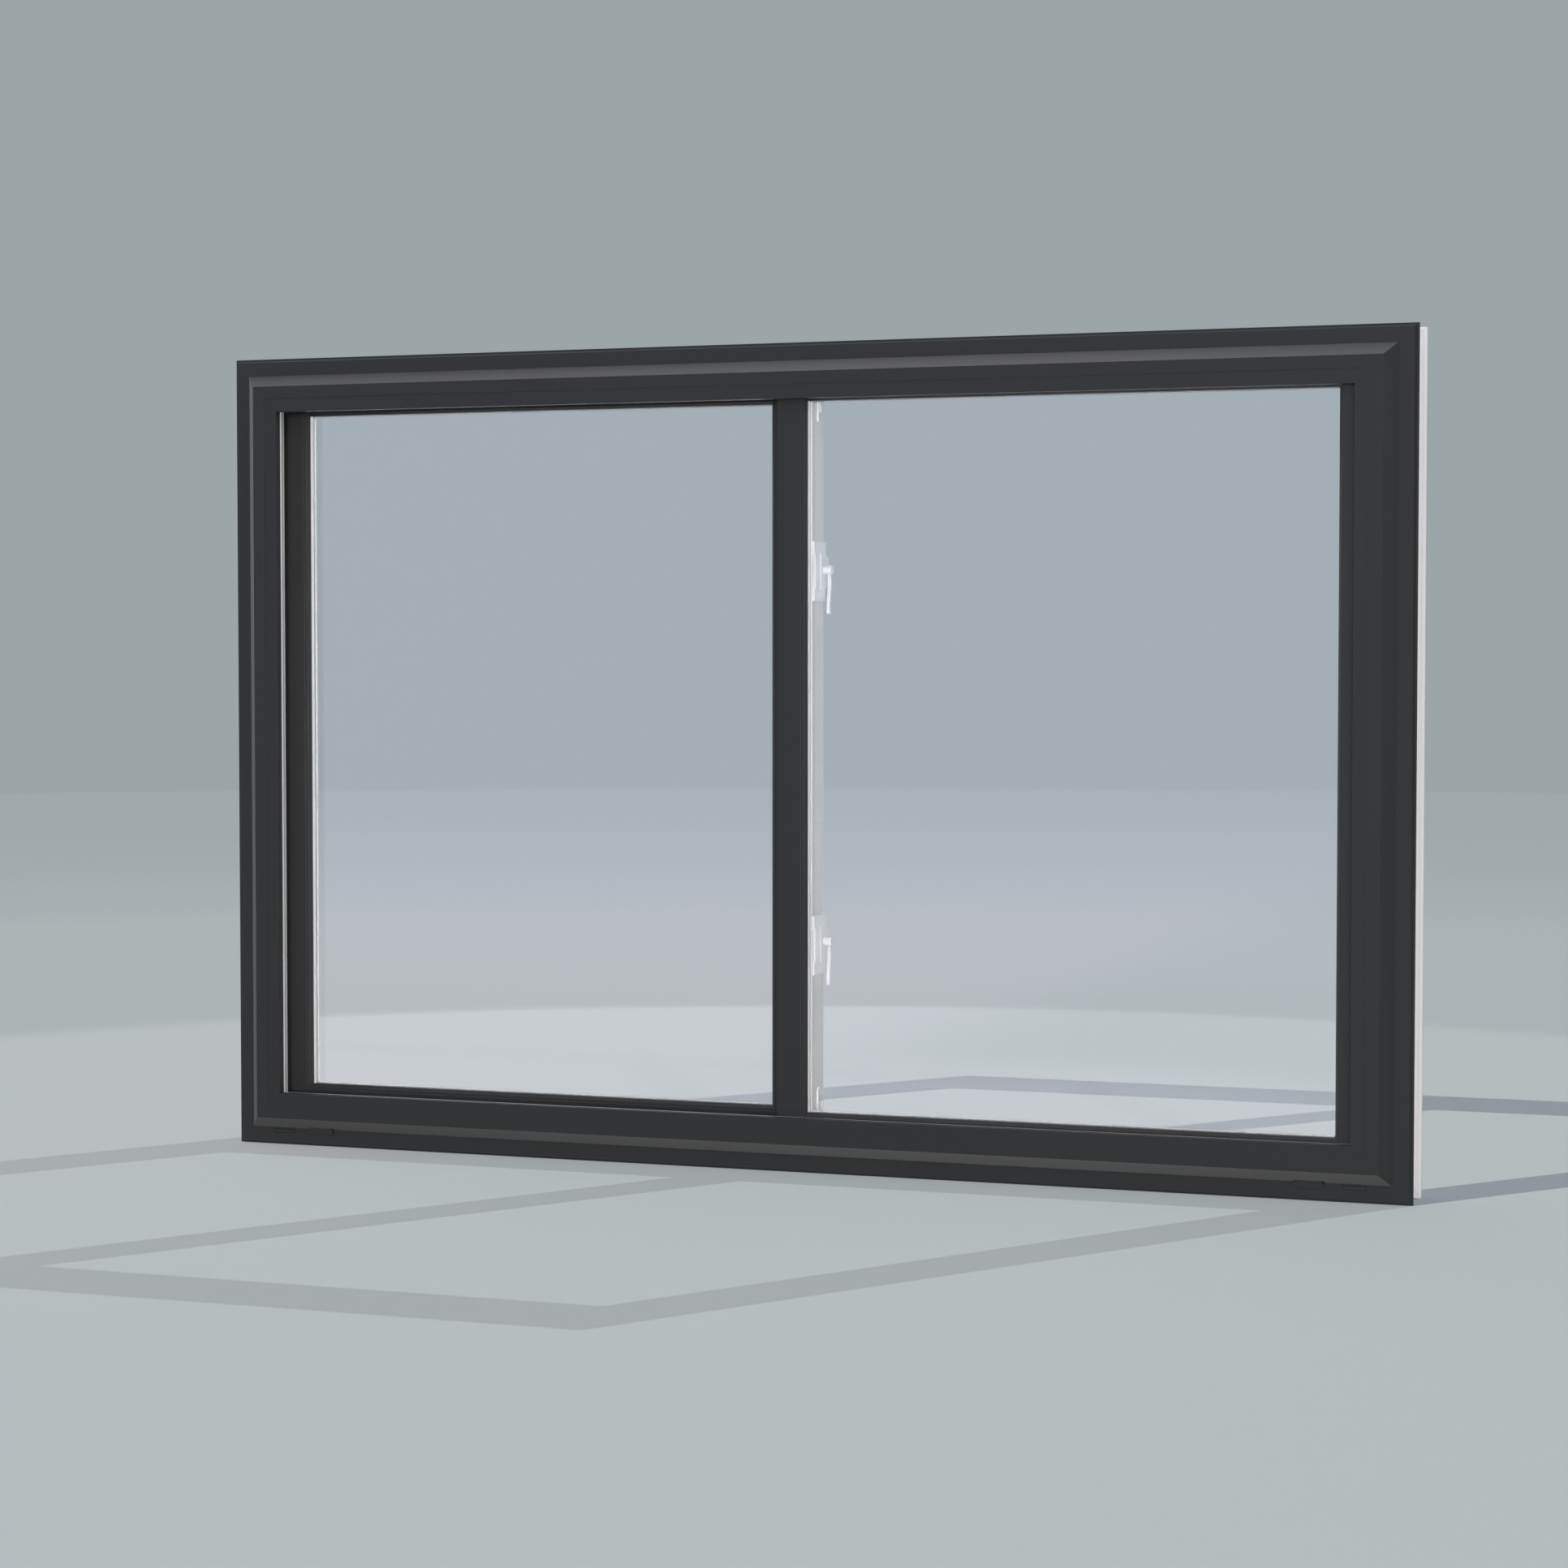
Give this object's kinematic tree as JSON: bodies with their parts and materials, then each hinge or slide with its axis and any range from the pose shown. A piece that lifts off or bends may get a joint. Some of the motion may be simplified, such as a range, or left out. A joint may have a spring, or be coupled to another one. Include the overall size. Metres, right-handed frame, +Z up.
{
  "type": "horizontal sliding window",
  "caption": "Horizontal sliding window: dark mitred brickmould outside, white frame inside, a fixed lite, a sliding sash, insulated glass and white sash locks with hanging levers.",
  "frame": {"origin": "middle of the width, on the underside of the sill, at the middle of the brickmould lip", "axes": "+X across the width to the right seen from outside, +Y from outside to the room, +Z up"},
  "size_m": [1.8, 0.1289, 1.2],
  "materials": {
    "dark_exterior": "satin",
    "white_vinyl": "satin",
    "clear_glass": "polished",
    "glass_spacer": "satin",
    "lock_lever": "satin"
  },
  "bodies": {
    "root": {"brickmould_head": "dark_exterior", "brickmould_left_jamb": "dark_exterior", "brickmould_right_jamb": "dark_exterior", "brickmould_sill": "dark_exterior", "exterior_stop_head": "dark_exterior", "exterior_stop_left_jamb": "dark_exterior", "exterior_stop_right_jamb": "dark_exterior", "exterior_stop_sill": "dark_exterior", "fixed_lite_bottom_rail": "white_vinyl", "fixed_lite_bottom_rail_cover": "dark_exterior", "fixed_lite_inner_pane": "clear_glass", "fixed_lite_jamb_stile": "white_vinyl", "fixed_lite_jamb_stile_cover": "dark_exterior", "fixed_lite_meeting_stile": "white_vinyl", "fixed_lite_meeting_stile_cover": "dark_exterior", "fixed_lite_outer_pane": "clear_glass", "fixed_lite_spacer": "glass_spacer", "fixed_lite_top_rail": "white_vinyl", "fixed_lite_top_rail_cover": "dark_exterior", "lower_lock_body": "white_vinyl", "lower_lock_lever": "lock_lever", "main_frame_head": "white_vinyl", "main_frame_left_jamb": "white_vinyl", "main_frame_right_jamb": "white_vinyl", "main_frame_sill": "white_vinyl", "meeting_stile_guide_bottom": "white_vinyl", "meeting_stile_guide_top": "white_vinyl", "sliding_sash_bottom_rail": "white_vinyl", "sliding_sash_bottom_rail_cover": "dark_exterior", "sliding_sash_inner_pane": "clear_glass", "sliding_sash_meeting_stile": "white_vinyl", "sliding_sash_meeting_stile_cover": "dark_exterior", "sliding_sash_outer_pane": "clear_glass", "sliding_sash_pull_stile": "white_vinyl", "sliding_sash_pull_stile_cover": "dark_exterior", "sliding_sash_spacer": "glass_spacer", "sliding_sash_top_rail": "white_vinyl", "sliding_sash_top_rail_cover": "dark_exterior", "upper_lock_body": "white_vinyl", "upper_lock_lever": "lock_lever", "weep_flap_left": "dark_exterior", "weep_flap_right": "dark_exterior", "weep_hood_left": "dark_exterior", "weep_hood_right": "dark_exterior"}
  },
  "joints": []
}
